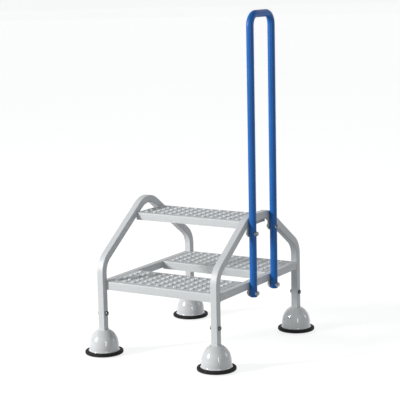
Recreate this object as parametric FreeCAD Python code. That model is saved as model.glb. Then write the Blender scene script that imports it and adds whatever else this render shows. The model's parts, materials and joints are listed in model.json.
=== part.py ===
import FreeCAD, Part
import math
import os

# A riding mounting block: two bent square-tube side frames carry three folded anti-slip treads
# (a low one at each end and a high one in the middle), and a round handrail is bolted to the right side.
# Each leg stands in a domed foot with a rubber ring. A sprung castor inside each foot lifts the ring
# clear of the floor, and yields when a rider stands on a tread, so that the rings grip.
#
# Millimetres. The origin is on the floor below the centre, +Z is up, -Y is the front, +X is the
# handrail side.

V = FreeCAD.Vector
PARTS = "parts"

# Side frames
frame_span = 445.0           # between the centre planes of the side frames
leg_span = 568.0             # between the centres of a frame's front and rear legs
tube_size = 25.0
tube_wall = 1.5
tube_corner = 3.0
knee_height = 317.5          # where the centreline of a leg meets that of its slope
roof_pitch = 34.6            # slope of the upper members, degrees
knee_bend = 67.5             # bend radii, on the centreline
peak_bend = 87.5
crown_height = 464.5         # centreline of the level top of the right frame
crown_bend = 60.0

# Treads
low_tread_height = 254.0
low_tread_depth = 199.0
low_tread_setback = 15.5     # from the front of the legs to the front of the tread
low_tread_lip = 28.5
top_tread_height = 460.0
top_tread_depth = 164.0
top_tread_lip = 26.0
sheet = 2.0
sheet_bend = 3.5             # outer radius of the folded edges

# Handrail
rail_diameter = 25.0
rail_wall = 1.5
rail_spread = 146.0          # between the centres of its two uprights
rail_top = 1158.0
rail_bend = 38.0
rail_gap = 0.2               # running from the tube to the lugs and the frame

# Lugs and bolts
lug_thickness = 4.0
lug_width = 25.0
low_lug_drop = 12.0          # from the underside of the lower rail to the bolt
high_lug_drop = 19.0         # from the underside of the frame over the lug to the bolt
bolt_radius = 4.0
bolt_clearance = 0.1
hex_size = 13.0              # across the flats
head_height = 5.3
nut_height = 6.5
bolt_tail = 2.0              # thread showing past the nut
saddle_radius = 8.0
saddle_height = 1.5

# Feet
leg_bolt_height = 143.5
ring_radius = 65.5
ring_hole_radius = 43.5
ring_bottom = 4.0            # lift of the ring above the floor while the castors carry the block
ring_height = 11.0
ring_round = 4.0
ring_upstand = 7.0
dome_rim_radius = 51.0
dome_skirt = 14.0            # height of the straight side below the crown
dome_crown_offset = 5.0      # radius of the circle that the crown's elliptical section is centred on
dome_seat_radius = 18.0      # flat on top, under the leg
dome_height = 72.0
dome_wall = 2.0
dome_top_plate = 3.0
dome_round = 6.0
dome_rim_flange = 2.5
dome_rim_thickness = 1.5
seat_gap = 0.3               # between rubber and steel that locate each other

# Spigot, bush, spring and plunger
spigot_gap = 0.2
spigot_bore = 8.0
spigot_rise = 22.0           # above the leg bolt
spigot_flange_radius = 19.0
spigot_flange = 4.0
bush_bore_gap = 0.05
bush_flange_radius = 14.0
bush_flange = 4.0
bush_rise = 16.0             # above the underside of the dome's top plate
press_gap = 0.03
plunger_radius = 5.0
stop_radius = 7.4
stop_height = 4.0
guide_pin_radius = 3.8
guide_pin_height = 12.0
spring_seat_height = 6.0
spring_wire = 0.9            # radius of the wire
spring_radius = 6.3
spring_turns = 6.0
spring_play = 0.1

# Castors
wheel_radius = 19.0
tread_thickness = 4.0
wheel_width = 14.0
hub_boss_radius = 6.0
hub_dish = 2.5
axle_radius = 3.0
axle_gap = 0.08
axle_head_radius = 5.0
axle_head = 1.6
trail = 14.0                 # from the swivel axis back to the axle
fork_side_gap = 0.4
fork_sheet = 2.5
fork_roof = 3.0
fork_over_wheel = 5.0        # from the top of the wheel to the underside of the fork's roof
fork_nose = 12.0
fork_eye_radius = 6.0
swivel_radius = 4.0
swivel_gap = 0.08
swivel_head_radius = 6.5
swivel_head = 3.0
swivel_flange_radius = 10.0
swivel_flange = 3.0
thrust_gap = 0.1

FEET = (("front_left", -1, -1), ("front_right", 1, -1), ("rear_left", -1, 1), ("rear_right", 1, 1))

# Sizes that follow
half_tube = tube_size / 2
frame_x = frame_span / 2
leg_y = leg_span / 2
rise_per_run = math.tan(math.radians(roof_pitch))
low_rail_z = low_tread_height - half_tube
ring_top = ring_bottom + ring_height
dome_top = ring_top + dome_height
rail_x = frame_x + half_tube + rail_gap + rail_diameter / 2
rail_y = rail_spread / 2
low_lug_z = low_tread_height - tube_size - low_lug_drop
slope_run = leg_y - rail_y - lug_width / 2
slope_underside = knee_height + slope_run * rise_per_run - half_tube / math.cos(math.radians(roof_pitch))
high_lug_z = min(slope_underside, crown_height - half_tube) - high_lug_drop
axle_z = wheel_radius
fork_roof_z = 2 * wheel_radius + fork_over_wheel
fork_half_width = wheel_width / 2 + fork_side_gap + fork_sheet
bush_top = dome_top - dome_top_plate + bush_rise
stop_bottom = bush_top + seat_gap
stop_top = stop_bottom + stop_height
seat_bottom = leg_bolt_height - bolt_radius - bolt_clearance - spring_seat_height


def export(name, solids):
    """Writes one node. Several equal pieces in one node stay separate solids."""
    shape = solids[0] if len(solids) == 1 else Part.makeCompound(solids)
    shape.exportStep(os.path.join(PARTS, name + ".step"))


def cylinder(radius, start, axis, length):
    return Part.makeCylinder(radius, length, start, axis)


def disc(radius, x, y, low, high):
    """An upright cylinder between two heights."""
    return cylinder(radius, V(x, y, low), V(0, 0, 1), high - low)


def moved(shape, x, y, z=0.0):
    copy = shape.copy()
    copy.translate(V(x, y, z))
    return copy


def shifted_path(corners, bends, shift):
    """Edges through the corners (y, z) with an arc at each inner one, all moved sideways by shift."""
    points = [V(0, y, z) for y, z in corners]
    runs = [(end - start).normalize() for start, end in zip(points, points[1:])]
    sides = [V(1, 0, 0).cross(run) for run in runs]
    start = points[0] + sides[0] * shift
    edges = []
    for index, bend in enumerate(bends):
        corner = points[index + 1]
        before, after = runs[index], runs[index + 1]
        half_turn = before.getAngle(after) / 2
        reach = bend * math.tan(half_turn)
        inward = (after - before).normalize()
        centre = corner + inward * (bend / math.cos(half_turn))
        first = corner - before * reach + sides[index] * shift
        last = corner + after * reach + sides[index + 1] * shift
        middle = centre - inward * (first - centre).Length
        edges.append(Part.LineSegment(start, first).toShape())
        edges.append(Part.Arc(first, middle, last).toShape())
        start = last
    edges.append(Part.LineSegment(start, points[-1] + sides[-1] * shift).toShape())
    return edges


def square_bar(corners, bends, width, corner_radius, x):
    """A solid bar of square section along the path, with its long edges rounded."""
    left = shifted_path(corners, bends, width / 2)
    right = shifted_path(corners, bends, -width / 2)
    caps = []
    for end in (0, -1):
        near = left[end].Vertexes[end].Point
        far = right[end].Vertexes[end].Point
        caps.append(Part.LineSegment(near, far).toShape())
    outline = Part.Wire(Part.__sortEdges__(left + right + caps))
    bar = Part.Face(outline).extrude(V(width, 0, 0))
    bar.translate(V(x - width / 2, 0, 0))
    long_edges = []
    for edge in bar.Edges:
        middle = edge.CenterOfMass
        across = abs(edge.Vertexes[0].X - edge.Vertexes[-1].X) > width / 2
        at_an_end = any(math.hypot(middle.y - y, middle.z - z) < 0.01 for y, z in (corners[0], corners[-1]))
        if not across and not at_an_end:
            long_edges.append(edge)
    return bar.makeFillet(corner_radius, long_edges)


def square_tube(corners, bends, x):
    outside = square_bar(corners, bends, tube_size, tube_corner, x)
    bore_width = tube_size - 2 * tube_wall
    inside = square_bar(corners, bends, bore_width, tube_corner - tube_wall, x)
    return outside.cut(inside)


def round_bar(corners, bends, radius, x):
    pieces = []
    for edge in shifted_path(corners, bends, 0):
        start = edge.valueAt(edge.FirstParameter)
        heading = edge.tangentAt(edge.FirstParameter)
        if isinstance(edge.Curve, Part.Line):
            pieces.append(cylinder(radius, start, heading, edge.Length))
            continue
        section = Part.Face(Part.Wire(Part.makeCircle(radius, start, heading)))
        turn = math.degrees(edge.LastParameter - edge.FirstParameter)
        pieces.append(section.revolve(edge.Curve.Center, edge.Curve.Axis, turn))
    bar = pieces[0].multiFuse(pieces[1:]).removeSplitter()
    bar.translate(V(x, 0, 0))
    return bar


def hexagon(x, y, z, length):
    """A hexagonal prism along +X from x."""
    corner_radius = hex_size / math.sqrt(3)
    corners = []
    for index in range(7):
        angle = math.radians(60 * index)
        corners.append(V(x, y + corner_radius * math.cos(angle), z + corner_radius * math.sin(angle)))
    return Part.Face(Part.makePolygon(corners)).extrude(V(length, 0, 0))


def bolt_and_nut(y, z, head_face, nut_face):
    """A bolt along X with its head against head_face, and its nut against nut_face."""
    outward = 1 if head_face > nut_face else -1
    head_x = min(head_face, head_face + outward * head_height)
    nut_x = min(nut_face, nut_face - outward * nut_height)
    shank_end = nut_face - outward * (nut_height + bolt_tail)
    shank = cylinder(bolt_radius, V(min(head_face, shank_end), y, z), V(1, 0, 0), abs(head_face - shank_end))
    bolt = shank.fuse(hexagon(head_x, y, z, head_height))
    thread = cylinder(bolt_radius, V(nut_x, y, z), V(1, 0, 0), nut_height)
    nut = hexagon(nut_x, y, z, nut_height).cut(thread)
    return bolt, nut


def bolt_hole(y, z, low_x, high_x):
    return cylinder(bolt_radius + bolt_clearance, V(low_x, y, z), V(1, 0, 0), high_x - low_x)


def leg_bolt_holes(x):
    holes = []
    for y in (-leg_y, leg_y):
        holes.append(bolt_hole(y, leg_bolt_height, x - tube_size, x + tube_size))
    return Part.makeCompound(holes)


def peaked_corners():
    peak = knee_height + leg_y * rise_per_run
    foot, knee = (-leg_y, dome_top), (-leg_y, knee_height)
    return [foot, knee, (0, peak), (leg_y, knee_height), (leg_y, dome_top)]


def level_corners():
    crown_y = leg_y - (crown_height - knee_height) / rise_per_run
    return [(-leg_y, dome_top), (-leg_y, knee_height), (-crown_y, crown_height),
            (crown_y, crown_height), (leg_y, knee_height), (leg_y, dome_top)]


def make_side_frames():
    left = square_tube(peaked_corners(), (knee_bend, peak_bend, knee_bend), -frame_x)
    right = square_tube(level_corners(), (knee_bend, crown_bend, crown_bend, knee_bend), frame_x)
    export("left_side_frame", [left.cut(leg_bolt_holes(-frame_x))])
    export("right_side_frame", [right.cut(leg_bolt_holes(frame_x))])
    rail_end = leg_y - half_tube
    for name, side in (("left_lower_rail", -1), ("right_lower_rail", 1)):
        export(name, [square_tube([(-rail_end, low_rail_z), (rail_end, low_rail_z)], (), side * frame_x)])


def folded_tread(front, depth, height, lip):
    """A shallow tray of folded sheet, open below, that fills the width between the side frames."""
    width = frame_span - tube_size
    outside = Part.makeBox(width, depth, lip, V(-width / 2, front, height - lip))
    upper_edges = [edge for edge in outside.Edges if edge.BoundBox.ZMin > height - 0.01]
    outside = outside.makeFillet(sheet_bend, upper_edges)
    corner = V(-width / 2 + sheet, front + sheet, height - lip)
    inside = Part.makeBox(width - 2 * sheet, depth - 2 * sheet, lip - sheet, corner)
    ceiling = [edge for edge in inside.Edges if edge.BoundBox.ZMin > height - sheet - 0.01]
    return outside.cut(inside.makeFillet(sheet_bend - sheet, ceiling))


def make_treads():
    low_front = -leg_y - half_tube + low_tread_setback
    export("front_lower_tread", [folded_tread(low_front, low_tread_depth, low_tread_height, low_tread_lip)])
    rear_front = -low_front - low_tread_depth
    export("rear_lower_tread", [folded_tread(rear_front, low_tread_depth, low_tread_height, low_tread_lip)])
    export("top_tread", [folded_tread(-top_tread_depth / 2, top_tread_depth, top_tread_height, top_tread_lip)])


def make_lug(y, bolt_z, top_z):
    """A plate flush with the outer face of the side frame, round below its bolt hole."""
    inner_x = frame_x + half_tube - lug_thickness
    outer_x = inner_x + lug_thickness
    plate = Part.makeBox(lug_thickness, lug_width, top_z - bolt_z, V(inner_x, y - lug_width / 2, bolt_z))
    eye = cylinder(lug_width / 2, V(inner_x, y, bolt_z), V(1, 0, 0), lug_thickness)
    above = Part.makeBox(lug_thickness, lug_width, lug_width, V(inner_x, y - lug_width / 2, bolt_z))
    lug = plate.fuse(eye.cut(above)).removeSplitter()
    return lug.cut(bolt_hole(y, bolt_z, inner_x - lug_thickness, outer_x + lug_thickness))


def make_saddle(y, z):
    """A washer hollowed to sit on the round tube under a bolt head."""
    tube_face = rail_x + rail_diameter / 2
    reach = math.sqrt((rail_diameter / 2) ** 2 - saddle_radius ** 2)
    blank = cylinder(saddle_radius, V(rail_x + reach, y, z), V(1, 0, 0), tube_face + saddle_height - rail_x - reach)
    seat = cylinder(rail_diameter / 2 + press_gap, V(rail_x, y, z - tube_size), V(0, 0, 1), 2 * tube_size)
    return blank.cut(seat).cut(bolt_hole(y, z, rail_x, tube_face + 2 * saddle_height))


def make_handrail():
    low_end = low_lug_z - lug_width / 2
    top = rail_top - rail_diameter / 2
    corners = [(-rail_y, low_end), (-rail_y, top), (rail_y, top), (rail_y, low_end)]
    bends = (rail_bend, rail_bend)
    rail = round_bar(corners, bends, rail_diameter / 2, rail_x)
    rail = rail.cut(round_bar(corners, bends, rail_diameter / 2 - rail_wall, rail_x))
    crown = square_bar(level_corners(), (knee_bend, crown_bend, crown_bend, knee_bend),
                       tube_size, tube_corner, frame_x)
    upper_lugs, lower_lugs, saddles, bolts, nuts = [], [], [], [], []
    head_face = rail_x + rail_diameter / 2 + saddle_height
    nut_face = frame_x + half_tube - lug_thickness
    for y in (-rail_y, rail_y):
        upper_lugs.append(make_lug(y, high_lug_z, crown_height).cut(crown).Solids[0])
        lower_lugs.append(make_lug(y, low_lug_z, low_tread_height - tube_size))
        for z in (low_lug_z, high_lug_z):
            rail = rail.cut(bolt_hole(y, z, rail_x - tube_size, rail_x + tube_size))
            saddles.append(make_saddle(y, z))
            bolt, nut = bolt_and_nut(y, z, head_face, nut_face)
            bolts.append(bolt)
            nuts.append(nut)
    export("handrail", [rail])
    export("handrail_upper_lugs", upper_lugs)
    export("handrail_lower_lugs", lower_lugs)
    export("handrail_saddle_washers", saddles)
    export("handrail_bolts", bolts)
    export("handrail_nuts", nuts)


def make_leg_fasteners():
    bolts, nuts = [], []
    for _, side, end in FEET:
        outer_face = side * (frame_x + half_tube)
        inner_face = side * (frame_x - half_tube)
        bolt, nut = bolt_and_nut(end * leg_y, leg_bolt_height, outer_face, inner_face)
        bolts.append(bolt)
        nuts.append(nut)
    export("leg_bolts", bolts)
    export("leg_nuts", nuts)


def dome_solid(inset, top):
    """The dome's outer shape, or its hollow when inset by the wall: a straight skirt below an elliptical crown."""
    skirt_top = ring_top + dome_skirt
    rim_radius = dome_rim_radius - inset
    seat_share = (dome_seat_radius - dome_crown_offset) / (dome_rim_radius - dome_crown_offset)
    half_height = (dome_height - dome_skirt) / math.sqrt(1 - seat_share ** 2) - inset
    half_width = rim_radius - dome_crown_offset
    last_angle = math.asin((top - skirt_top) / half_height)
    points = []
    for step in range(9):
        angle = last_angle * step / 8
        reach = dome_crown_offset + half_width * math.cos(angle)
        points.append(V(reach, 0, skirt_top + half_height * math.sin(angle)))
    end_slope = V(-half_width * math.sin(last_angle), 0, half_height * math.cos(last_angle))
    crown = Part.BSplineCurve()
    crown.interpolate(Points=points, InitialTangent=V(0, 0, 1), FinalTangent=end_slope)
    side = Part.LineSegment(V(rim_radius, 0, ring_top), points[0]).toShape()
    lid = Part.LineSegment(points[-1], V(0, 0, top)).toShape()
    axis = Part.LineSegment(V(0, 0, top), V(0, 0, ring_top)).toShape()
    base = Part.LineSegment(V(0, 0, ring_top), V(rim_radius, 0, ring_top)).toShape()
    outline = Part.Wire([side, crown.toShape(), lid, axis, base])
    solid = Part.Face(outline).revolve(V(0, 0, 0), V(0, 0, 1), 360)
    seat_edges = [edge for edge in solid.Edges if edge.BoundBox.ZMin > top - 0.01]
    return solid.makeFillet(dome_round - inset, seat_edges)


def make_dome():
    shell = dome_solid(0, dome_top).cut(dome_solid(dome_wall, dome_top - dome_top_plate))
    flange = disc(dome_rim_radius + dome_rim_flange, 0, 0, ring_top, ring_top + dome_rim_thickness)
    flange = flange.cut(disc(dome_rim_radius - dome_wall, 0, 0, ring_top, ring_top + dome_rim_thickness))
    hole = disc(half_tube - tube_wall - spigot_gap + press_gap, 0, 0, ring_top, dome_top)
    return shell.fuse(flange).cut(hole)


def make_ring():
    body = disc(ring_radius, 0, 0, ring_bottom, ring_top)
    rims = [edge for edge in body.Edges if isinstance(edge.Curve, Part.Circle)]
    body = body.makeFillet(ring_round, rims)
    body = body.fuse(disc(dome_rim_radius - dome_wall - seat_gap, 0, 0, ring_top, ring_top + ring_upstand))
    return body.cut(disc(ring_hole_radius, 0, 0, ring_bottom, ring_top + ring_upstand))


def make_spigot():
    under_plate = dome_top - dome_top_plate
    top = leg_bolt_height + spigot_rise
    tube = disc(half_tube - tube_wall - spigot_gap, 0, 0, under_plate, top)
    flange = disc(spigot_flange_radius, 0, 0, under_plate - spigot_flange, under_plate)
    bore = disc(spigot_bore, 0, 0, under_plate - spigot_flange, top)
    return tube.fuse(flange).cut(bore).cut(bolt_hole(0, leg_bolt_height, -tube_size, tube_size))


def make_bush():
    flange_top = dome_top - dome_top_plate - spigot_flange
    body = disc(spigot_bore - press_gap, 0, 0, flange_top, bush_top)
    flange = disc(bush_flange_radius, 0, 0, flange_top - bush_flange, flange_top)
    bore = disc(plunger_radius + bush_bore_gap, 0, 0, flange_top - bush_flange, bush_top)
    return body.fuse(flange).cut(bore)


def make_plunger():
    flange_bottom = fork_roof_z + fork_roof + thrust_gap
    head_top = fork_roof_z - thrust_gap
    pieces = [
        disc(swivel_head_radius, 0, 0, head_top - swivel_head, head_top),
        disc(swivel_radius, 0, 0, head_top, flange_bottom),
        disc(swivel_flange_radius, 0, 0, flange_bottom, flange_bottom + swivel_flange),
        disc(plunger_radius, 0, 0, flange_bottom + swivel_flange, stop_bottom),
        disc(stop_radius, 0, 0, stop_bottom, stop_top),
        disc(guide_pin_radius, 0, 0, stop_top, stop_top + guide_pin_height),
    ]
    return pieces[0].multiFuse(pieces[1:]).removeSplitter()


def make_spring():
    bottom = stop_top + spring_play
    height = seat_bottom - bottom - 2 * spring_wire
    helix = Part.makeHelix(height / spring_turns, height, spring_radius)
    section = Part.Wire(Part.makeCircle(spring_wire, V(spring_radius, 0, 0), V(0, 1, 0)))
    coil = Part.Wire(helix).makePipeShell([section], True, True)
    return moved(Part.Solid(coil), 0, 0, bottom + spring_wire)


def make_fork():
    """A bent bracket: a roof with the swivel hole, and a cheek on each side of the wheel."""
    roof_top = fork_roof_z + fork_roof
    rear = trail + fork_eye_radius
    eye_front = V(0, trail - fork_eye_radius, axle_z)
    eye_rear = V(0, rear, axle_z)
    outline = [
        Part.LineSegment(V(0, -fork_nose, roof_top), V(0, rear, roof_top)).toShape(),
        Part.LineSegment(V(0, rear, roof_top), eye_rear).toShape(),
        Part.Arc(eye_rear, V(0, trail, axle_z - fork_eye_radius), eye_front).toShape(),
        Part.LineSegment(eye_front, V(0, -fork_nose, fork_roof_z - fork_roof)).toShape(),
        Part.LineSegment(V(0, -fork_nose, fork_roof_z - fork_roof), V(0, -fork_nose, roof_top)).toShape(),
    ]
    block = Part.Face(Part.Wire(outline)).extrude(V(2 * fork_half_width, 0, 0))
    block.translate(V(-fork_half_width, 0, 0))
    gap = fork_half_width - fork_sheet
    channel = Part.makeBox(2 * gap, 2 * (rear + fork_nose), fork_roof_z, V(-gap, -rear - fork_nose, 0))
    fork = block.cut(channel)
    fork = fork.cut(disc(swivel_radius + swivel_gap, 0, 0, fork_roof_z, roof_top))
    axle_hole = cylinder(axle_radius + press_gap, V(-fork_half_width, trail, axle_z), V(1, 0, 0), 2 * fork_half_width)
    return fork.cut(axle_hole)


def make_axle():
    pin = cylinder(axle_radius, V(-fork_half_width, trail, axle_z), V(1, 0, 0), 2 * fork_half_width)
    heads = []
    for start in (-fork_half_width - axle_head, fork_half_width):
        heads.append(cylinder(axle_head_radius, V(start, trail, axle_z), V(1, 0, 0), axle_head))
    return pin.multiFuse(heads).removeSplitter()


def wheel_disc(radius, width):
    return cylinder(radius, V(-width / 2, trail, axle_z), V(1, 0, 0), width)


def make_hub():
    rim_radius = wheel_radius - tread_thickness
    hub = wheel_disc(rim_radius, wheel_width)
    for side in (-1, 1):
        start = side * wheel_width / 2 if side < 0 else wheel_width / 2 - hub_dish
        dish = cylinder(rim_radius - hub_dish, V(start, trail, axle_z), V(1, 0, 0), hub_dish)
        boss = cylinder(hub_boss_radius, V(start, trail, axle_z), V(1, 0, 0), hub_dish)
        hub = hub.cut(dish.cut(boss))
    return hub.cut(wheel_disc(axle_radius + axle_gap, 2 * wheel_width))


def make_tyre():
    tyre = wheel_disc(wheel_radius, wheel_width)
    rims = [edge for edge in tyre.Edges if isinstance(edge.Curve, Part.Circle)]
    tyre = tyre.makeFillet(tread_thickness / 2, rims)
    return tyre.cut(wheel_disc(wheel_radius - tread_thickness + press_gap, 2 * wheel_width))


def make_feet():
    makers = {
        "foot_dome": make_dome, "rubber_ring": make_ring, "foot_spigot": make_spigot, "guide_bush": make_bush,
        "castor_spring": make_spring, "castor_plunger": make_plunger, "castor_fork": make_fork,
        "castor_axle": make_axle, "castor_hub": make_hub, "castor_tyre": make_tyre,
    }
    for kind, maker in makers.items():
        piece = maker()
        for corner, side, end in FEET:
            export(kind + "_" + corner, [moved(piece, side * frame_x, end * leg_y)])
    seat = disc(spigot_bore - press_gap, 0, 0, seat_bottom, seat_bottom + spring_seat_height)
    export("spring_seats", [moved(seat, side * frame_x, end * leg_y) for _, side, end in FEET])


os.makedirs(PARTS, exist_ok=True)
make_side_frames()
make_treads()
make_handrail()
make_leg_fasteners()
make_feet()
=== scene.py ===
import json
import math

import bmesh
import bpy
from mathutils import Matrix, Vector
from mathutils.bvhtree import BVHTree


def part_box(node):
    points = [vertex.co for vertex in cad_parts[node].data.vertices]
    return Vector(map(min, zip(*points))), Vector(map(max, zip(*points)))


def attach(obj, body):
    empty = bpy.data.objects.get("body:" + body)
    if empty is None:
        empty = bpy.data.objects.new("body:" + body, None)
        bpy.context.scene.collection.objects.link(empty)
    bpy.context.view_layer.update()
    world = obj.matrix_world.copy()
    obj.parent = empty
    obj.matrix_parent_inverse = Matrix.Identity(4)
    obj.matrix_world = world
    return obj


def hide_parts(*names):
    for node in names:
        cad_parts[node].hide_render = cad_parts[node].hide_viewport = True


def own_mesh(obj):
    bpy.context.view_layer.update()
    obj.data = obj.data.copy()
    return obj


# The looks of a riding mounting block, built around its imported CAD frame. Metres, +Z up, -Y is the front,
# +X is the handrail side. The CAD nodes keep their shapes and get materials. Finer meshes replace the treads,
# domes, rubber rings, castor springs, bolts and nuts, and weld beads are added where steel pieces meet.

FEET = ("front_left", "front_right", "rear_left", "rear_right")

# Treads
SHEET = 0.002
SHEET_BEND = 0.0035           # outer radius of the folded edges
DIMPLE_PITCH_X = 0.033
DIMPLE_PITCH_Y = 0.029
DIMPLE_MARGIN = 0.006         # least plain strip between the dimples' cells and the fold
DIMPLE_SIDES = 20             # a multiple of four
BEND_STEPS = 6
SHARP_FOLD = 40.0             # degrees
# Radius and height of the rings of one dimple, from the pierced hole out to the plate
DIMPLE_PROFILE = ((0.0027, 0.0022), (0.0029, 0.0035), (0.0038, 0.0041), (0.0049, 0.0037),
                  (0.0066, 0.0016), (0.0078, 0.0003), (0.0092, 0.0))
DIMPLE_PEAK = 0.0041
# Height share over the tread's dimples. The tread coat uses it to paint a near-white highlight on the dimple
# tops.
PAINTED_HIGHLIGHT_HEIGHT = "rubbed"             # mesh attribute: 0 on the plate, 1 on top of a dimple

# Domes and rings
DOME_SIDES = 128
DOME_RIM_RADIUS = 0.051
DOME_SKIRT = 0.014            # height of the straight side below the crown
DOME_CROWN_OFFSET = 0.005     # radius of the circle that the crown's elliptical section is centred on
DOME_SEAT_RADIUS = 0.018      # flat on top, under the leg
DOME_EASE = 0.0025            # how far the crown eases into the flat
DOME_WALL = 0.002
DOME_PLATE = 0.003
DOME_HOLE = 0.0108
DOME_LIP = 0.0008             # radius of the rolled rim
DOME_LIP_OUT = 0.0017         # from the dome's side to the middle of the rolled rim
CROWN_STEPS = 36
RING_SIDES = 128
RING_ROUND = 0.004
RING_HOLE = 0.0435
RING_UPSTAND_RADIUS = 0.0487
RING_UPSTAND = 0.007
GROOVE = 0.0008               # depth of the sole's grooves, and half their width
GROOVES = 3                   # in the sole

# Castor springs
SPRING_WIRE = 0.0009          # radius of the wire
SPRING_TURNS = 6
SPRING_STEPS = 48             # to a turn
SPRING_SIDES = 16             # round the wire

# Fasteners
HEX_SIZE = 0.013              # across the flats
HEAD_HEIGHT = 0.0053
NUT_HEIGHT = 0.0065
THREAD_RADIUS = 0.004
THREAD_PITCH = 0.00125
THREAD_DEPTH = 0.0005
THREAD_STEPS = 8              # rings to a pitch
THREAD_START = 0.002          # how far before the nut's face the thread starts
TIP_LENGTH = 0.0008
TIP_INSET = 0.0012            # how much narrower the bolt's tip is than its thread
NUT_FIT = 0.0002              # how much narrower the nut's bore is than the thread
BOLT_TAIL = 0.002
CHAMFER_SLOPE = math.tan(math.radians(30))
CHAMFER_FLAT = HEX_SIZE / 2 * 0.97
BOLT_SIDES = 48

# Welds
TUBE = 0.025
TUBE_CORNER = 0.003
BEAD_RADIUS = 0.0021
BEAD_SIDES = 10
BEAD_STEP = 0.0006
BEAD_RIPPLE = 0.0026          # length of one ripple
STITCH = 0.024                # length of one stitch weld
LUG_WIDTH = 0.025
LUG_BEAD_MARGIN = 0.001       # bare metal at each end of a lug's bead

# Studio
CAMERA_PLACE = (2.455943, -4.061278, 1.312971)
CAMERA_TURN = 31.155          # degrees about Z
CAMERA_PITCH = -9.661
CAMERA_ROLL = -1.199
CAMERA_LENS = 125.39
SENSOR = 36.0
LIGHT_TARGET = Vector((0.0, 0.0, 0.3))
LIGHT_DISTANCE = 6.0
WORLD_COLOR = (0.93, 0.965, 1.0, 1.0)
WORLD_STRENGTH = 0.33
FLOOR_GLOW = 0.80
FLOOR_RINGS = (1.0, 3.0, 10.0, 30.0)
FLOOR_SIDES = 96
COVE_RADIUS = 10.0            # of the curve between floor and wall
COVE_STEPS = 8
WALL_HEIGHT = 40.0


# ---------------------------------------------------------------- mesh tools

def skin(bm, rings, cap_start=False, cap_end=False, wrap=False):
    """Joins closed rings of points into quads. wrap also joins the last ring to the first."""
    rows = [[bm.verts.new(point) for point in ring] for ring in rings]
    pairs = list(zip(rows, rows[1:]))
    if wrap:
        pairs.append((rows[-1], rows[0]))
    for near, far in pairs:
        for index in range(len(near)):
            after = (index + 1) % len(near)
            bm.faces.new((near[index], near[after], far[after], far[index]))
    if cap_start:
        bm.faces.new(rows[0])
    if cap_end:
        bm.faces.new(rows[-1])


def circle(centre, across, up, radius, sides):
    """Points of a circle. radius is a number, or a function of the angle."""
    points = []
    for index in range(sides):
        angle = 2 * math.pi * index / sides
        reach = radius(angle) if callable(radius) else radius
        points.append(centre + across * (reach * math.cos(angle)) + up * (reach * math.sin(angle)))
    return points


def finished(bm, name, material, body, sharp_angle=30.0):
    """Turns the mesh into a smooth-shaded piece with sharp edges above sharp_angle, riding on a body."""
    bmesh.ops.recalc_face_normals(bm, faces=bm.faces)
    mesh = bpy.data.meshes.new(name)
    bm.to_mesh(mesh)
    bm.free()
    piece = bpy.data.objects.new(name, mesh)
    bpy.context.scene.collection.objects.link(piece)
    mesh.materials.append(material)
    mesh.polygons.foreach_set("use_smooth", [True] * len(mesh.polygons))
    mesh.set_sharp_from_angle(angle=math.radians(sharp_angle))
    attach(piece, body)
    return piece


# ---------------------------------------------------------------- materials

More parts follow.
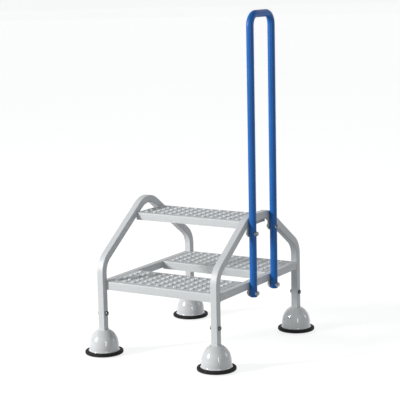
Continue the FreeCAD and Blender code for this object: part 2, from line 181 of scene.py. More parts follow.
class Surface:
    """A material being built on the Principled shader, with textures placed in metres."""

    def __init__(self, name, color, metallic=0.0, specular=0.5, coat=0.0, coat_roughness=0.05):
        self.material = bpy.data.materials.new(name)
        self.material.use_nodes = True
        self.tree = self.material.node_tree
        self.shader = self.tree.nodes["Principled BSDF"]
        self.shader.inputs["Metallic"].default_value = metallic
        self.shader.inputs["Specular IOR Level"].default_value = specular
        self.shader.inputs["Coat Weight"].default_value = coat
        self.shader.inputs["Coat Roughness"].default_value = coat_roughness
        self.place = self.node("ShaderNodeTexCoord").outputs["Object"]
        self.color = color
        self.normal = None

    def node(self, kind, **settings):
        node = self.tree.nodes.new(kind)
        for name, value in settings.items():
            setattr(node, name, value)
        return node

    def link(self, source, target):
        self.tree.links.new(source, target)

    def noise(self, size, detail=2.0, stretch=(1.0, 1.0, 1.0)):
        """Noise whose features are about size metres."""
        mapping = self.node("ShaderNodeMapping")
        mapping.inputs["Scale"].default_value = stretch
        self.link(self.place, mapping.inputs["Vector"])
        noise = self.node("ShaderNodeTexNoise")
        noise.inputs["Scale"].default_value = 1.0 / size
        noise.inputs["Detail"].default_value = detail
        self.link(mapping.outputs["Vector"], noise.inputs["Vector"])
        return noise.outputs["Fac"]

    def remap(self, value, low, high, to_low, to_high):
        """Stretches the range from low to high onto the range from to_low to to_high."""
        ranged = self.node("ShaderNodeMapRange")
        sockets = ("From Min", "From Max", "To Min", "To Max")
        for socket, number in zip(sockets, (low, high, to_low, to_high)):
            ranged.inputs[socket].default_value = number
        self.link(value, ranged.inputs["Value"])
        return ranged.outputs["Result"]

    def math(self, operation, first, second):
        """One sum of two values, kept between 0 and 1."""
        node = self.node("ShaderNodeMath", operation=operation, use_clamp=True)
        for socket, value in zip(node.inputs, (first, second)):
            if isinstance(value, (int, float)):
                socket.default_value = value
            else:
                self.link(value, socket)
        return node.outputs["Value"]

    def blend_color(self, factor, first, second):
        mix = self.node("ShaderNodeMix", data_type="RGBA")
        self.link(factor, mix.inputs["Factor"])
        for socket, value in ((mix.inputs["A"], first), (mix.inputs["B"], second)):
            if isinstance(value, tuple):
                socket.default_value = (*value, 1.0)
            else:
                self.link(value, socket)
        return mix.outputs["Result"]

    def edges(self, width):
        """A mask that is 1 on convex and concave edges about width metres wide."""
        bevel = self.node("ShaderNodeBevel", samples=6)
        bevel.inputs["Radius"].default_value = width
        geometry = self.node("ShaderNodeNewGeometry")
        dot = self.node("ShaderNodeVectorMath", operation="DOT_PRODUCT")
        self.link(bevel.outputs["Normal"], dot.inputs[0])
        self.link(geometry.outputs["Normal"], dot.inputs[1])
        return self.remap(dot.outputs["Value"], 0.98, 0.80, 0.0, 1.0)

    def mottle(self, size, amount):
        """Slow changes of colour, by amount up and down."""
        darker = tuple(channel * (1 - amount) for channel in self.color)
        lighter = tuple(min(1.0, channel * (1 + amount)) for channel in self.color)
        spread = self.remap(self.noise(size, 4.0), 0.3, 0.7, 0.0, 1.0)
        return self.blend_color(spread, darker, lighter)

    def bump(self, height, distance, strength=1.0):
        """Adds one layer of relief, distance metres deep, over those added before."""
        bump = self.node("ShaderNodeBump")
        bump.inputs["Distance"].default_value = distance
        bump.inputs["Strength"].default_value = strength
        self.link(height, bump.inputs["Height"])
        if self.normal is not None:
            self.link(self.normal, bump.inputs["Normal"])
        self.normal = bump.outputs["Normal"]

    def done(self, color, roughness):
        """Joins the colour, the roughness and the relief to the shader, and returns the material."""
        self.link(color, self.shader.inputs["Base Color"])
        self.link(roughness, self.shader.inputs["Roughness"])
        if self.normal is not None:
            self.link(self.normal, self.shader.inputs["Normal"])
        return self.material


def powder_coat():
    """Light grey satin powder coat: orange peel, faint mottling, and rubbed edges."""
    s = Surface("grey_powder_coat", (0.545, 0.560, 0.568), specular=0.45)
    tone = s.mottle(0.07, 0.012)
    worn = s.math("MULTIPLY", s.edges(0.0016), s.remap(s.noise(0.012, 5.0), 0.50, 0.66, 0.0, 0.55))
    tone = s.blend_color(worn, tone, (0.40, 0.41, 0.42))
    speck = s.remap(s.noise(0.0045, 3.0), 0.70, 0.76, 0.0, 0.35)
    tone = s.blend_color(speck, tone, (0.44, 0.44, 0.43))
    s.bump(s.noise(0.0014, 2.0), 0.00022, 0.35)
    return s.done(tone, s.remap(s.noise(0.03, 4.0), 0.3, 0.7, 0.38, 0.48))


def tread_coat():
    """The same coat on the treads, with a painted highlight of near-white colour on top of the dimples, and a
    little dusty between them.
    """
    s = Surface("tread_powder_coat", (0.510, 0.525, 0.533), specular=0.42)
    tone = s.mottle(0.05, 0.012)
    dust = s.remap(s.noise(0.020, 6.0), 0.54, 0.80, 0.0, 0.16)
    tone = s.blend_color(dust, tone, (0.40, 0.395, 0.38))
    # Painted highlight: the tops of the dimples are blended in patches towards near-white.
    raised = s.node("ShaderNodeAttribute", attribute_name=PAINTED_HIGHLIGHT_HEIGHT).outputs["Fac"]
    tops = s.remap(raised, 0.25, 0.95, 0.0, 1.0)
    painted_highlight = s.math("MULTIPLY", tops, s.remap(s.noise(0.008, 4.0), 0.35, 0.6, 0.5, 0.95))
    tone = s.blend_color(painted_highlight, tone, (0.86, 0.87, 0.88))
    s.bump(s.noise(0.0014, 2.0), 0.00025, 0.4)
    scratches = s.remap(s.noise(0.0012, 3.0, stretch=(0.04, 1.0, 1.0)), 0.62, 0.70, 0.0, 1.0)
    s.bump(scratches, 0.00005, 0.25)
    polish = s.remap(s.noise(0.02, 4.0), 0.3, 0.7, 0.38, 0.52)
    return s.done(tone, s.math("SUBTRACT", polish, s.remap(painted_highlight, 0.0, 1.0, 0.0, 0.12)))


def gloss_enamel():
    """Grey gloss enamel on the domes, with a slight ripple, dust and chips at the rim."""
    s = Surface("dome_gloss_enamel", (0.555, 0.568, 0.575), coat=1.0, coat_roughness=0.03)
    tone = s.mottle(0.05, 0.02)
    chips = s.math("MULTIPLY", s.edges(0.0012), s.remap(s.noise(0.005, 5.0), 0.56, 0.64, 0.0, 0.8))
    tone = s.blend_color(chips, tone, (0.30, 0.30, 0.30))
    s.bump(s.noise(0.011, 1.0), 0.0002, 0.05)
    dust = s.remap(s.noise(0.0025, 5.0), 0.45, 0.75, 0.14, 0.26)
    return s.done(tone, dust)


def blue_coat():
    """Blue gloss coat on the handrail, with orange peel, fine scratches along it and rubbed patches."""
    s = Surface("handrail_blue_coat", (0.006, 0.112, 0.400), specular=0.20, coat=0.08, coat_roughness=0.2)
    tone = s.mottle(0.09, 0.06)
    rubbed = s.remap(s.noise(0.016, 6.0, stretch=(1.0, 1.0, 0.25)), 0.60, 0.78, 0.0, 0.30)
    tone = s.blend_color(rubbed, tone, (0.016, 0.150, 0.48))
    s.bump(s.noise(0.0013, 2.0), 0.0002, 0.3)
    scratches = s.remap(s.noise(0.0010, 3.0, stretch=(1.0, 1.0, 0.03)), 0.64, 0.72, 0.0, 1.0)
    s.bump(scratches, 0.00004, 0.25)
    return s.done(tone, s.remap(s.noise(0.02, 5.0), 0.3, 0.7, 0.26, 0.40))


def rubber(name, shade, roughness):
    """Rubber with fine moulded grain and a grey bloom of dust."""
    s = Surface(name, (shade, shade, shade * 1.04), specular=0.2)
    tone = s.mottle(0.03, 0.12)
    bloom = s.remap(s.noise(0.014, 6.0), 0.55, 0.80, 0.0, 0.20)
    tone = s.blend_color(bloom, tone, (0.028, 0.027, 0.026))
    s.bump(s.noise(0.0009, 3.0), 0.00025, 0.5)
    return s.done(tone, s.remap(s.noise(0.010, 4.0), 0.3, 0.7, roughness - 0.08, roughness + 0.12))


def plastic(name, color):
    """Moulded nylon: fine spark texture, a soft sheen and scuffed edges."""
    s = Surface(name, color)
    tone = s.mottle(0.02, 0.06)
    pale = tuple(min(1.0, channel * 1.5 + 0.02) for channel in color)
    scuff = s.math("MULTIPLY", s.edges(0.0008), s.remap(s.noise(0.003, 4.0), 0.45, 0.65, 0.0, 0.6))
    tone = s.blend_color(scuff, tone, pale)
    s.bump(s.noise(0.0007, 2.0), 0.00015, 0.35)
    return s.done(tone, s.remap(s.noise(0.008, 4.0), 0.3, 0.7, 0.36, 0.52))


def zinc():
    """Dull zinc plate: blotchy passivation, faint rolling lines and bright edges."""
    s = Surface("zinc_plate", (0.36, 0.37, 0.38), metallic=1.0)
    tone = s.mottle(0.006, 0.14)
    bright = s.math("MULTIPLY", s.edges(0.0009), s.remap(s.noise(0.004, 4.0), 0.40, 0.62, 0.0, 0.8))
    tone = s.blend_color(bright, tone, (0.60, 0.61, 0.62))
    lines = s.noise(0.0012, 2.0, stretch=(1.0, 0.05, 1.0))
    s.bump(lines, 0.00006, 0.3)
    return s.done(tone, s.remap(s.noise(0.005, 5.0), 0.3, 0.7, 0.32, 0.52))


def plated_steel(name, shade):
    """Plated steel of bolts, nuts and axles, with stained recesses."""
    s = Surface(name, (shade, shade * 1.03, shade * 1.06), metallic=1.0)
    tone = s.mottle(0.005, 0.10)
    stain = s.remap(s.noise(0.0035, 6.0), 0.55, 0.72, 0.0, 0.5)
    tone = s.blend_color(stain, tone, (shade * 0.62, shade * 0.59, shade * 0.53))
    s.bump(s.noise(0.0008, 3.0), 0.00006, 0.3)
    return s.done(tone, s.remap(s.noise(0.004, 5.0), 0.3, 0.7, 0.30, 0.46))


def spring_steel():
    """Dark oil-tempered wire with drawn lines and brighter rubbed spots."""
    s = Surface("oil_tempered_wire", (0.12, 0.115, 0.11), metallic=1.0)
    tone = s.mottle(0.006, 0.2)
    rubbed = s.remap(s.noise(0.003, 5.0), 0.58, 0.70, 0.0, 0.6)
    tone = s.blend_color(rubbed, tone, (0.36, 0.35, 0.34))
    s.bump(s.noise(0.0006, 2.0), 0.00005, 0.3)
    return s.done(tone, s.remap(s.noise(0.004, 4.0), 0.3, 0.7, 0.28, 0.44))


def dress_cad_nodes(materials):
    """Gives every CAD node the material of its slot in the record."""
    for part in frame["record"]["subparts"]:
        node = frame["nodes"][part["node"]]
        node.data.materials.clear()
        node.data.materials.append(materials[part["material_slot"]])


# ---------------------------------------------------------------- treads

def cell_border(sides, half_x, half_y):
    """Points round a rectangle, one for each side of the dimple, with one in every corner."""
    per_edge = sides // 4
    corners = [Vector((half_x, -half_y, 0)), Vector((half_x, half_y, 0)),
               Vector((-half_x, half_y, 0)), Vector((-half_x, -half_y, 0))]
    points = []
    for start, end in zip(corners, corners[1:] + corners[:1]):
        for step in range(per_edge):
            points.append(start.lerp(end, step / per_edge))
    return points


def add_dimple(bm, centre, half_x, half_y):
    """One raised, pierced dimple in its rectangular cell of plate."""
    start = -math.pi / 4
    rings = []
    for radius, height in DIMPLE_PROFILE:
        ring = []
        for index in range(DIMPLE_SIDES):
            angle = start + 2 * math.pi * index / DIMPLE_SIDES
            ring.append(centre + Vector((radius * math.cos(angle), radius * math.sin(angle), height)))
        rings.append(ring)
    rings.append([centre + point for point in cell_border(DIMPLE_SIDES, half_x, half_y)])
    skin(bm, rings)


def outer_loop(bm, reach_x, reach_y):
    """The edges on the rim of the plate, which spans reach_x and reach_y each way from the origin."""
    loop = []
    for edge in bm.edges:
        if len(edge.link_faces) != 1:
            continue
        middle = (edge.verts[0].co + edge.verts[1].co) / 2
        if abs(abs(middle.x) - reach_x) < 1e-6 or abs(abs(middle.y) - reach_y) < 1e-6:
            loop.append(edge)
    return loop


def grow_rim(bm, loop, reach, target, drop):
    """Extrudes the rim from reach (x, y) out to target (x, y) and down by drop. Returns the new rim."""
    made = bmesh.ops.extrude_edge_only(bm, edges=loop)["geom"]
    for vert in (item for item in made if isinstance(item, bmesh.types.BMVert)):
        for axis in (0, 1):
            if abs(abs(vert.co[axis]) - reach[axis]) < 1e-6:
                vert.co[axis] = math.copysign(target[axis], vert.co[axis])
        vert.co.z -= drop
    return [item for item in made if isinstance(item, bmesh.types.BMEdge)]


def dimpled_tread(node, material):
    """A folded sheet tread with rows of raised dimples, in place of a plain CAD tread."""
    low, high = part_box(node)
    centre = (low + high) / 2
    half = (high - low) / 2
    flat = (half.x - SHEET_BEND, half.y - SHEET_BEND)
    columns = int(2 * (flat[0] - DIMPLE_MARGIN) / DIMPLE_PITCH_X)
    rows = int(2 * (flat[1] - DIMPLE_MARGIN) / DIMPLE_PITCH_Y)
    bm = bmesh.new()
    for column in range(columns):
        for row in range(rows):
            x = (column - (columns - 1) / 2) * DIMPLE_PITCH_X
            y = (row - (rows - 1) / 2) * DIMPLE_PITCH_Y
            add_dimple(bm, Vector((x, y, 0)), DIMPLE_PITCH_X / 2, DIMPLE_PITCH_Y / 2)
    bmesh.ops.remove_doubles(bm, verts=bm.verts, dist=1e-5)
    reach = (columns * DIMPLE_PITCH_X / 2, rows * DIMPLE_PITCH_Y / 2)
    rim = outer_loop(bm, *reach)
    rim = grow_rim(bm, rim, reach, flat, 0.0)
    at, depth = flat, 0.0
    for step in range(1, BEND_STEPS + 1):
        angle = math.pi / 2 * step / BEND_STEPS
        out = SHEET_BEND * math.sin(angle)
        fallen = SHEET_BEND * (1 - math.cos(angle))
        target = (flat[0] + out, flat[1] + out)
        rim = grow_rim(bm, rim, at, target, fallen - depth)
        at, depth = target, fallen
    grow_rim(bm, rim, at, at, high.z - low.z - SHEET_BEND)
    # Height share over the dimples, which places the painted highlight on their tops.
    rubbed = bm.verts.layers.float.new(PAINTED_HIGHLIGHT_HEIGHT)
    for vert in bm.verts:
        vert[rubbed] = max(0.0, vert.co.z / DIMPLE_PEAK)
    bmesh.ops.translate(bm, verts=bm.verts, vec=(centre.x, centre.y, high.z))
    piece = finished(bm, node + "_dimpled", material, "frame")
    thicken(piece)
    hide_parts(node)


def thicken(piece):
    """Gives the sheet its thickness, inwards, with crisp cut edges."""
    thick = piece.modifiers.new("sheet", "SOLIDIFY")
    thick.thickness = SHEET
    thick.offset = -1.0
    thick.use_even_offset = True
    solid = bpy.data.meshes.new_from_object(piece.evaluated_get(bpy.context.evaluated_depsgraph_get()))
    piece.modifiers.clear()
    piece.data = solid
    solid.set_sharp_from_angle(angle=math.radians(SHARP_FOLD))


# ---------------------------------------------------------------- feet

def crown_profile(height, top, inset):
    """One face of the dome from the rim up: a straight skirt, an elliptical crown and the flat on top."""
    seat_share = (DOME_SEAT_RADIUS - DOME_CROWN_OFFSET) / (DOME_RIM_RADIUS - DOME_CROWN_OFFSET)
    half_height = (height - DOME_SKIRT) / math.sqrt(1 - seat_share ** 2) - inset
    half_width = DOME_RIM_RADIUS - DOME_CROWN_OFFSET - inset
    last = math.asin((top - DOME_SKIRT) / half_height)
    points = [(DOME_RIM_RADIUS - inset, DOME_SKIRT * step / 4) for step in range(4)]
    for step in range(CROWN_STEPS + 1):
        angle = last * step / CROWN_STEPS
        reach = DOME_CROWN_OFFSET + half_width * math.cos(angle)
        points.append((reach, DOME_SKIRT + half_height * math.sin(angle)))
    corner = points.pop()
    before = points[-1]
    after = (corner[0] - DOME_EASE, top)
    for step in range(1, 6):
        share = step / 5
        middle = [before[axis] * (1 - share) + corner[axis] * share for axis in (0, 1)]
        final = [corner[axis] * (1 - share) + after[axis] * share for axis in (0, 1)]
        points.append(tuple(middle[axis] * (1 - share) + final[axis] * share for axis in (0, 1)))
    return points


def dome_profile(height):
    """Closed outline of the pressed dome, as (radius, height above the rim)."""
    outer = crown_profile(height, height, 0.0)
    inner = crown_profile(height, height - DOME_PLATE, DOME_WALL)
    rolled = []
    roll_centre = DOME_RIM_RADIUS + DOME_LIP_OUT
    for step in range(9):
        angle = math.radians(-90 + 200 * step / 8)
        rolled.append((roll_centre + DOME_LIP * math.cos(angle), DOME_LIP + DOME_LIP * math.sin(angle)))
    hole = [(DOME_HOLE, height), (DOME_HOLE, height - DOME_PLATE)]
    return rolled + outer[1:] + hole + list(reversed(inner))


def lathe(profile, x, y, z, sides, name, material, body, sharp_angle=30.0):
    """A piece turned about an upright axis from a closed outline of (radius, height)."""
    bm = bmesh.new()
    rings = []
    for radius, height in profile:
        centre = Vector((x, y, z + height))
        rings.append(circle(centre, Vector((1, 0, 0)), Vector((0, 1, 0)), radius, sides))
    skin(bm, rings, wrap=True)
    return finished(bm, name, material, body, sharp_angle)


def make_dome(foot, material):
    node = "foot_dome_" + foot
    low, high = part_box(node)
    middle = (low + high) / 2
    profile = dome_profile(high.z - low.z)
    piece = lathe(profile, middle.x, middle.y, low.z, DOME_SIDES, node + "_pressed", material,
                  "frame", 45.0)
    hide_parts(node)


def ring_profile(radius, height):
    """Outline of the rubber ring: a rounded skirt with a mould line, an upstand and a grooved sole."""
    points = []
    for step in range(7):
        angle = math.radians(-90 + 90 * step / 6)
        points.append((radius - RING_ROUND + RING_ROUND * math.cos(angle),
                       RING_ROUND + RING_ROUND * math.sin(angle)))
    waist = height / 2
    points += [(radius, waist - GROOVE / 2), (radius - GROOVE / 2, waist), (radius, waist + GROOVE / 2)]
    for step in range(7):
        angle = math.radians(90 * step / 6)
        points.append((radius - RING_ROUND + RING_ROUND * math.cos(angle),
                       height - RING_ROUND + RING_ROUND * math.sin(angle)))
    points += [(RING_UPSTAND_RADIUS, height), (RING_UPSTAND_RADIUS, height + RING_UPSTAND),
               (RING_HOLE, height + RING_UPSTAND), (RING_HOLE, 0.0)]
    pitch = (radius - RING_ROUND - RING_HOLE) / (GROOVES + 1)
    for groove in range(1, GROOVES + 1):
        middle = RING_HOLE + groove * pitch
        points += [(middle - GROOVE, 0.0), (middle - GROOVE, GROOVE),
                   (middle + GROOVE, GROOVE), (middle + GROOVE, 0.0)]
    return points


def make_rubber_ring(foot, material):
    node = "rubber_ring_" + foot
    low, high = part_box(node)
    middle = (low + high) / 2
    profile = ring_profile((high.x - low.x) / 2, high.z - low.z - RING_UPSTAND)
    piece = lathe(profile, middle.x, middle.y, low.z, RING_SIDES, node + "_moulded", material,
                  "frame", 35.0)
    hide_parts(node)


def make_spring(foot, material):
    """A coil at the leg's end, in the CAD spring's place."""
    node = "castor_spring_" + foot
    low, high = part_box(node)
    middle = (low + high) / 2
    reach = (high.x - low.x) / 2 - SPRING_WIRE
    rise = (high.z - low.z - 2 * SPRING_WIRE) / (SPRING_TURNS * SPRING_STEPS)
    rings = []
    for step in range(SPRING_TURNS * SPRING_STEPS + 1):
        angle = 2 * math.pi * step / SPRING_STEPS
        outward = Vector((math.cos(angle), math.sin(angle), 0))
        along = Vector((-math.sin(angle), math.cos(angle), 0)) * (2 * math.pi * reach / SPRING_STEPS)
        along.z = rise
        centre = Vector((middle.x, middle.y, low.z + SPRING_WIRE + rise * step)) + outward * reach
        rings.append(circle(centre, outward, along.normalized().cross(outward), SPRING_WIRE, SPRING_SIDES))
    bm = bmesh.new()
    skin(bm, rings, True, True)
    piece = finished(bm, node + "_coiled", material, "frame", 60.0)
    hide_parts(node)
    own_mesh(piece)


# ---------------------------------------------------------------- bolts and nuts

def hex_radius(angle):
    """Distance from the axis to the side of a hexagon with corners at 0, 60, 120 ... degrees."""
    within = (angle % (math.pi / 3)) - math.pi / 6
    return HEX_SIZE / 2 / math.cos(within)


def hex_rings(start, axis, across, up, height, chamfer_start, chamfer_end, bore=0.0):
    """Rings of a hexagonal piece along axis, with its corners chamfered by cones at either end."""
    def ring(at, cone_end):
        """Where a cone that narrows towards one end of the piece cuts the hexagon."""
        points = []
        for index in range(BOLT_SIDES):
            angle = 2 * math.pi * index / BOLT_SIDES
            reach = hex_radius(angle)
            inset = CHAMFER_SLOPE * (reach - CHAMFER_FLAT)
            travel = at + inset if cone_end < 0 else at - inset
            side = across * math.cos(angle) + up * math.sin(angle)
            points.append(start + axis * travel + side * reach)
        return points

    rings = []
    if chamfer_start:
        rings.append(circle(start, across, up, CHAMFER_FLAT, BOLT_SIDES))
        rings.append(ring(0.0, -1))
    else:
        rings.append(circle(start, across, up, hex_radius, BOLT_SIDES))
    if chamfer_end:
        rings.append(ring(height, 1))
        rings.append(circle(start + axis * height, across, up, CHAMFER_FLAT, BOLT_SIDES))
    else:
        rings.append(circle(start + axis * height, across, up, hex_radius, BOLT_SIDES))
    if bore:
        rings.append(circle(start + axis * height, across, up, bore, BOLT_SIDES))
        rings.append(circle(start, across, up, bore, BOLT_SIDES))
    return rings


def thread_rings(start, axis, across, up, length):
    """Rings of a helical thread."""
    steps = max(4, int(length / THREAD_PITCH * THREAD_STEPS))
    rings = []
    for step in range(steps + 1):
        travel = length * step / steps

        def radius(angle, travel=travel):
            phase = (travel / THREAD_PITCH - angle / (2 * math.pi)) % 1.0
            return THREAD_RADIUS - THREAD_DEPTH * abs(2 * phase - 1)

        rings.append(circle(start + axis * travel, across, up, radius, BOLT_SIDES))
    return rings


def add_bolt(bm, face, axis, grip):
    """A hex bolt whose head stands on face. axis points from the head's top to the tip."""
    across = Vector((0, 1, 0))
    up = axis.cross(across)
    skin(bm, hex_rings(face - axis * HEAD_HEIGHT, axis, across, up, HEAD_HEIGHT, True, False), True, True)
    thread = NUT_HEIGHT + BOLT_TAIL
    plain = grip - THREAD_START
    shank = [circle(face + axis * travel, across, up, THREAD_RADIUS, BOLT_SIDES) for travel in (0.0, plain)]
    skin(bm, shank, True, True)
    rings = thread_rings(face + axis * plain, axis, across, up, thread + THREAD_START - TIP_LENGTH)
    tip = face + axis * (grip + thread)
    rings.append(circle(tip, across, up, THREAD_RADIUS - TIP_INSET, BOLT_SIDES))
    skin(bm, rings, True, True)


def add_nut(bm, face, axis):
    """A hex nut that bears on face, with the bolt coming through along axis."""
    across = Vector((0, 1, 0))
    up = axis.cross(across)
    rings = hex_rings(face, axis, across, up, NUT_HEIGHT, True, True, THREAD_RADIUS - NUT_FIT)
    skin(bm, rings, wrap=True)


def fastener_rows(node):
    """The two y and two z places of a group of four bolts along X, from its CAD box."""
    low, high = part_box(node)
    corner = HEX_SIZE / math.sqrt(3)
    flat = HEX_SIZE / 2
    return (low.y + corner, high.y - corner), (low.z + flat, high.z - flat)


def handrail_fasteners(material):
    rows, heights = fastener_rows("handrail_bolts")
    low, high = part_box("handrail_bolts")
    head_face = high.x - HEAD_HEIGHT
    nut_face = low.x + BOLT_TAIL + NUT_HEIGHT
    bolts, nuts = bmesh.new(), bmesh.new()
    inward = Vector((-1, 0, 0))
    for y in rows:
        for z in heights:
            add_bolt(bolts, Vector((head_face, y, z)), inward, head_face - nut_face)
            add_nut(nuts, Vector((nut_face, y, z)), inward)
    threaded = finished(bolts, "handrail_bolts_threaded", material, "frame")
    chamfered = finished(nuts, "handrail_nuts_chamfered", material, "frame")
    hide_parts("handrail_bolts")
    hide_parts("handrail_nuts")


def leg_fasteners(material):
    rows, heights = fastener_rows("leg_bolts")
    head_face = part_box("leg_bolts")[1].x - HEAD_HEIGHT
    bolts, nuts = bmesh.new(), bmesh.new()
    for side in (-1, 1):
        inward = Vector((-side, 0, 0))
        for y in rows:
            face = Vector((side * head_face, y, heights[0]))
            add_bolt(bolts, face, inward, TUBE)
            add_nut(nuts, face + inward * TUBE, inward)
    threaded = finished(bolts, "leg_bolts_threaded", material, "frame")
    chamfered = finished(nuts, "leg_nuts_chamfered", material, "frame")
    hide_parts("leg_bolts")
    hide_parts("leg_nuts")


# ---------------------------------------------------------------- welds

def resampled(points, closed):
    """The polyline's points at even steps."""
    ends = points + [points[0]] if closed else points
    samples = []
    for start, end in zip(ends, ends[1:]):
        count = max(1, round((end - start).length / BEAD_STEP))
        for step in range(count):
            samples.append(start.lerp(end, step / count))
    if not closed:
        samples.append(ends[-1])
    return samples


def add_bead(bm, points, closed=False, radius=BEAD_RADIUS):
    """A weld bead along the points, with the overlapping ripples of a hand-run weld."""
    path = resampled(points, closed)
    count = len(path)
    rings = []
    for index, centre in enumerate(path):
        before = path[index - 1] if closed or index > 0 else centre
        after = path[(index + 1) % count] if closed or index < count - 1 else centre
        heading = (after - before).normalized()
        side = heading.cross(Vector((0.3, 0.2, 0.93))).normalized()
        up = heading.cross(side)
        travel = index * BEAD_STEP / BEAD_RIPPLE
        swell = 1.0 + 0.16 * abs(math.sin(math.pi * travel)) + 0.05 * math.sin(1.7 * travel)
        taper = 1.0 if closed else min(1.0, 0.35 + 0.25 * min(index, count - 1 - index))
        rings.append(circle(centre, side, up, radius * swell * taper * 0.9, BEAD_SIDES))
    skin(bm, rings, cap_start=not closed, cap_end=not closed, wrap=closed)


def rounded_square(x, y, z):
    """The outline of a square tube's end, upright and facing along Y."""
    points = []
    straight = TUBE / 2 - TUBE_CORNER
    for quarter in range(4):
        for step in range(5):
            angle = math.pi / 2 * (quarter + step / 4)
            sign_x = 1 if quarter in (0, 3) else -1
            sign_z = 1 if quarter in (0, 1) else -1
            points.append(Vector((x + sign_x * straight + TUBE_CORNER * math.cos(angle), y,
                                  z + sign_z * straight + TUBE_CORNER * math.sin(angle))))
    return points


def rail_welds(bm):
    """All round both ends of each lower rail, where it meets the legs."""
    for node in ("left_lower_rail", "right_lower_rail"):
        low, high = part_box(node)
        middle = (low + high) / 2
        for y in (low.y, high.y):
            add_bead(bm, rounded_square(middle.x, y, middle.z), closed=True)


def stitch_places(low, high, inset):
    """Start and end of three stitches between two places: at both ends and in the middle."""
    middle = (low + high) / 2
    return ((low + inset, low + inset + STITCH), (middle - STITCH / 2, middle + STITCH / 2),
            (high - inset - STITCH, high - inset))


def tread_welds(bm):
    """Stitches in the groove between each low tread and its rails, and above the top tread's right end."""
    for node in ("front_lower_tread", "rear_lower_tread"):
        low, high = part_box(node)
        for x in (low.x, high.x):
            for start, end in stitch_places(low.y, high.y, 0.018):
                add_bead(bm, [Vector((x, y, high.z - 0.0016)) for y in (start, end)])
    low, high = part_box("top_tread")
    for start, end in stitch_places(low.y, high.y, 0.012):
        add_bead(bm, [Vector((high.x - 0.0008, y, high.z - 0.0012)) for y in (start, end)])


def underside_above(tree, x, y, from_z):
    """Height of the first surface straight above a point."""
    hit = tree.ray_cast(Vector((x, y, from_z)), Vector((0, 0, 1)))
    return hit[0].z


def left_end_welds(bm):
    """Under the peaked left frame, where its slopes cross the end of the top tread."""
    low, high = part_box("top_tread")
    tree = BVHTree.FromObject(frame["nodes"]["left_side_frame"], bpy.context.evaluated_depsgraph_get())
    inset = 0.004
    for side in (-1, 1):
        points = []
        for step in range(8):
            y = side * (high.y - 0.002 - 0.003 * step)
            z = underside_above(tree, low.x - inset, y, low.z - 0.05)
            if z < high.z:
                points.append(Vector((low.x, y, z + 0.001)))
        add_bead(bm, points)


def lug_welds(bm):
    """Along the top of each handrail lug, on its inner face."""
    carriers = {"handrail_upper_lugs": "right_side_frame", "handrail_lower_lugs": "right_lower_rail"}
    for node, carrier in carriers.items():
        low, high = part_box(node)
        tree = BVHTree.FromObject(frame["nodes"][carrier], bpy.context.evaluated_depsgraph_get())
        for side in (-1, 1):
            middle = side * (high.y - LUG_WIDTH / 2)
            points = []
            for step in range(9):
                y = middle + (step / 8 - 0.5) * (LUG_WIDTH - 2 * LUG_BEAD_MARGIN)
                z = underside_above(tree, low.x - 0.002, y, low.z)
                points.append(Vector((low.x, y, z)))
            add_bead(bm, points, radius=BEAD_RADIUS * 0.8)


def make_welds(material):
    bm = bmesh.new()
    rail_welds(bm)
    tread_welds(bm)
    left_end_welds(bm)
    lug_welds(bm)
    finished(bm, "weld_beads", material, "frame", 60.0)


# ---------------------------------------------------------------- studio

def floor_material():
    """White studio floor, lit a little from within so that it stays pale."""
    s = Surface("studio_floor", (0.36, 0.36, 0.36), specular=0.1)
    tone = s.mottle(2.0, 0.01)
    s.shader.inputs["Emission Color"].default_value = (1.0, 1.0, 1.0, 1.0)
    s.shader.inputs["Emission Strength"].default_value = FLOOR_GLOW
    return s.done(tone, s.remap(s.noise(1.0), 0.3, 0.7, 0.68, 0.74))


def make_floor():
    """A flat floor that curves up into a wall far from the object on every side."""
    profile = [(radius, 0.0) for radius in FLOOR_RINGS]
    for step in range(1, COVE_STEPS + 1):
        angle = math.pi / 2 * step / COVE_STEPS
        profile.append((FLOOR_RINGS[-1] + COVE_RADIUS * math.sin(angle),
                        COVE_RADIUS * (1 - math.cos(angle))))
    profile.append((FLOOR_RINGS[-1] + COVE_RADIUS, WALL_HEIGHT))
    bm = bmesh.new()
    rings = []
    for radius, height in profile:
        centre = Vector((0, 0, height))
        rings.append(circle(centre, Vector((1, 0, 0)), Vector((0, 1, 0)), radius, FLOOR_SIDES))
    skin(bm, rings, cap_start=True)
    mesh = bpy.data.meshes.new("studio_floor")
    bm.to_mesh(mesh)
    bm.free()
    floor = bpy.data.objects.new("studio_floor", mesh)
    bpy.context.scene.collection.objects.link(floor)
    mesh.materials.append(floor_material())
    floor.visible_diffuse = False
    floor.visible_shadow = False


def softbox(name, azimuth, elevation, width, height, radiance, color=(1.0, 1.0, 1.0)):
    """A rectangular light that faces the object. azimuth is in degrees from the front (-Y) towards +X."""
    light = bpy.data.lights.new(name, "AREA")
    light.shape = "RECTANGLE"
    light.size = width
    light.size_y = height
    light.energy = math.pi * width * height * radiance
    light.color = color
    lamp = bpy.data.objects.new(name, light)
    turn = math.radians(azimuth)
    rise = math.radians(elevation)
    towards = Vector((math.sin(turn) * math.cos(rise), -math.cos(turn) * math.cos(rise), math.sin(rise)))
    lamp.rotation_euler = towards.to_track_quat("Z", "Y").to_euler()
    lamp.location = LIGHT_TARGET + towards * LIGHT_DISTANCE
    bpy.context.scene.collection.objects.link(lamp)


def make_world():
    world = bpy.data.worlds.new("studio")
    world.use_nodes = True
    background = world.node_tree.nodes["Background"]
    background.inputs["Color"].default_value = WORLD_COLOR
    background.inputs["Strength"].default_value = WORLD_STRENGTH
    bpy.context.scene.world = world


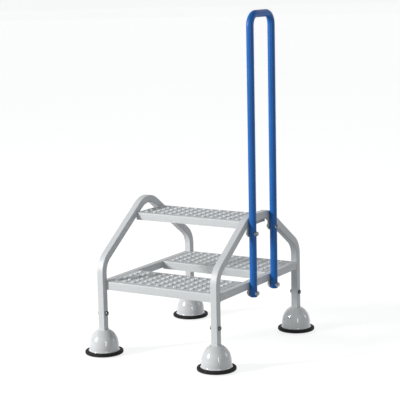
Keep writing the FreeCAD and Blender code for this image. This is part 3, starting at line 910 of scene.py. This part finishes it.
def make_camera():
    data = bpy.data.cameras.new("camera")
    data.sensor_width = SENSOR
    data.lens = CAMERA_LENS
    data.clip_end = 200.0
    camera = bpy.data.objects.new("camera", data)
    turn = Matrix.Rotation(math.radians(CAMERA_TURN), 4, "Z")
    pitch = Matrix.Rotation(math.radians(90 + CAMERA_PITCH), 4, "X")
    roll = Matrix.Rotation(math.radians(CAMERA_ROLL), 4, "Z")
    camera.matrix_world = Matrix.Translation(CAMERA_PLACE) @ turn @ pitch @ roll
    bpy.context.scene.collection.objects.link(camera)
    bpy.context.scene.camera = camera


def make_studio():
    make_floor()
    make_world()
    softbox("key_softbox", -39.0, 21.5, 0.85, 1.7, 84.0, (1.0, 0.995, 0.985))
    softbox("camera_side_strip", 45.0, 11.0, 0.45, 2.6, 9.0)
    softbox("right_strip", 123.0, 18.0, 0.6, 1.8, 5.0)
    make_camera()
    bpy.context.scene.view_settings.view_transform = "Standard"


# ---------------------------------------------------------------- assembly


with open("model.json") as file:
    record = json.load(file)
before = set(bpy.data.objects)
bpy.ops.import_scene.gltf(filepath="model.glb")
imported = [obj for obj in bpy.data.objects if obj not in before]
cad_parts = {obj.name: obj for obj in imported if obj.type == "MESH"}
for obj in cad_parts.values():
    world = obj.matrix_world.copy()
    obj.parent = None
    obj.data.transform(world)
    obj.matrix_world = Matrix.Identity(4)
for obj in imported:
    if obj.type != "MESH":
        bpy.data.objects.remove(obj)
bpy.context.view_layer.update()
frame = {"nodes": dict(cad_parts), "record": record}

grey = powder_coat()
tread_grey = tread_coat()
enamel = gloss_enamel()
bright = plated_steel("bright_plated_steel", 0.27)
dark = plated_steel("dark_plated_steel", 0.09)
ring_black = rubber("ring_rubber_black", 0.008, 0.62)
spring_wire = spring_steel()
dress_cad_nodes({
    "grey_coat": grey,
    "dome_enamel": enamel,
    "blue_coat": blue_coat(),
    "ring_rubber": ring_black,
    "tyre_rubber": rubber("tyre_rubber_grey", 0.05, 0.50),
    "hub_plastic": plastic("hub_nylon", (0.16, 0.165, 0.17)),
    "bush_plastic": plastic("bush_acetal", (0.62, 0.62, 0.58)),
    "spring_steel": spring_wire,
    "zinc": zinc(),
    "plated_steel": bright,
})
for tread in ("front_lower_tread", "rear_lower_tread", "top_tread"):
    dimpled_tread(tread, tread_grey)
for foot in FEET:
    make_dome(foot, enamel)
    make_rubber_ring(foot, ring_black)
    make_spring(foot, spring_wire)
handrail_fasteners(bright)
leg_fasteners(dark)
make_welds(grey)
make_studio()
